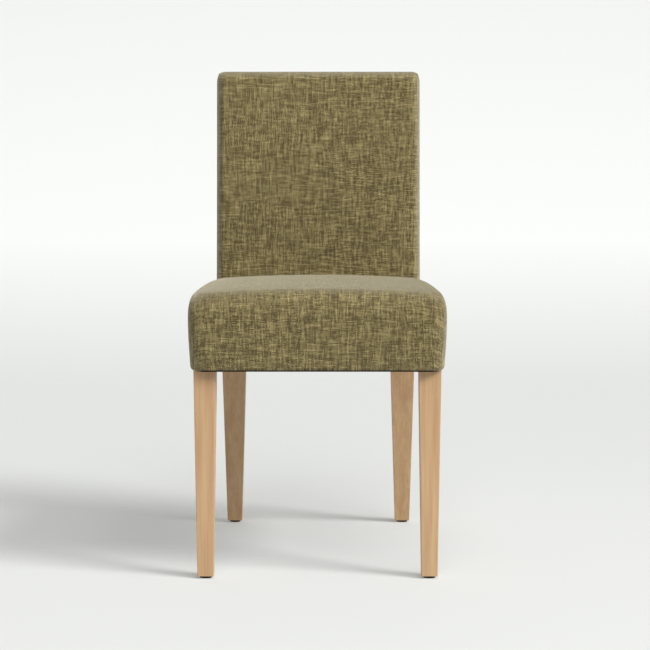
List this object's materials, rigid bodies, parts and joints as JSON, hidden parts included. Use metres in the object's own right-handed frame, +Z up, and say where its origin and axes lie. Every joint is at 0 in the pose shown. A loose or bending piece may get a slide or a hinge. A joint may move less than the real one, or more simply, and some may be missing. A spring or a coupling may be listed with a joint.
{
  "type": "parsons chair",
  "caption": "Armless dining chair with an upholstered seat and straight upholstered back on square tapered wooden legs with round glides.",
  "frame": {"origin": "on the floor, under the middle of the chair's overall width and depth", "axes": "+Z up, -Y towards the seat's front, +X towards the right as seen from the front"},
  "size_m": [0.4638, 0.562, 0.92],
  "materials": {
    "leg_wood": "pale oak-like hardwood, thin clear satin varnish",
    "frame_wood": "sawn hardwood, unfinished",
    "tenon_wood": "beech, unfinished",
    "zinc_steel": "zinc-plated",
    "glide_plastic": "black, moulded",
    "webbing": "elastic, woven",
    "felt": "pressed, grey",
    "foam": "open-cell foam, pale yellow",
    "wadding": "polyester fibre, white",
    "linen_look_fabric": "olive plain weave with slubs, matt",
    "plywood": "plywood, unfinished",
    "card": "dense grey-brown card",
    "dust_cloth": "black bonded cloth"
  },
  "bodies": {
    "root": {"front_leg_right": "leg_wood", "front_leg_left": "leg_wood", "rear_post_right": "leg_wood", "rear_post_left": "leg_wood", "side_rail_right": "frame_wood", "side_rail_left": "frame_wood", "corner_block_front_right": "frame_wood", "corner_block_front_left": "frame_wood", "corner_block_rear_right": "frame_wood", "corner_block_rear_left": "frame_wood", "front_rail": "frame_wood", "rear_rail": "frame_wood", "crest_rail": "frame_wood", "lower_back_rail": "frame_wood", "seat_frame_tenons": "tenon_wood", "back_frame_tenons": "tenon_wood", "corner_block_screws": "zinc_steel", "glide_front_right": "glide_plastic", "glide_front_left": "glide_plastic", "glide_rear_right": "glide_plastic", "glide_rear_left": "glide_plastic", "glide_nails": "zinc_steel", "seat_webbing_lengthwise": "webbing", "seat_webbing_crosswise": "webbing", "webbing_felt": "felt", "seat_foam": "foam", "seat_wadding": "wadding", "seat_cover": "linen_look_fabric", "inside_back_panel": "plywood", "back_foam": "foam", "back_wadding": "wadding", "back_cover": "linen_look_fabric", "outside_back_board": "card", "outside_back_cover": "linen_look_fabric", "dust_cover": "dust_cloth"}
  },
  "joints": []
}
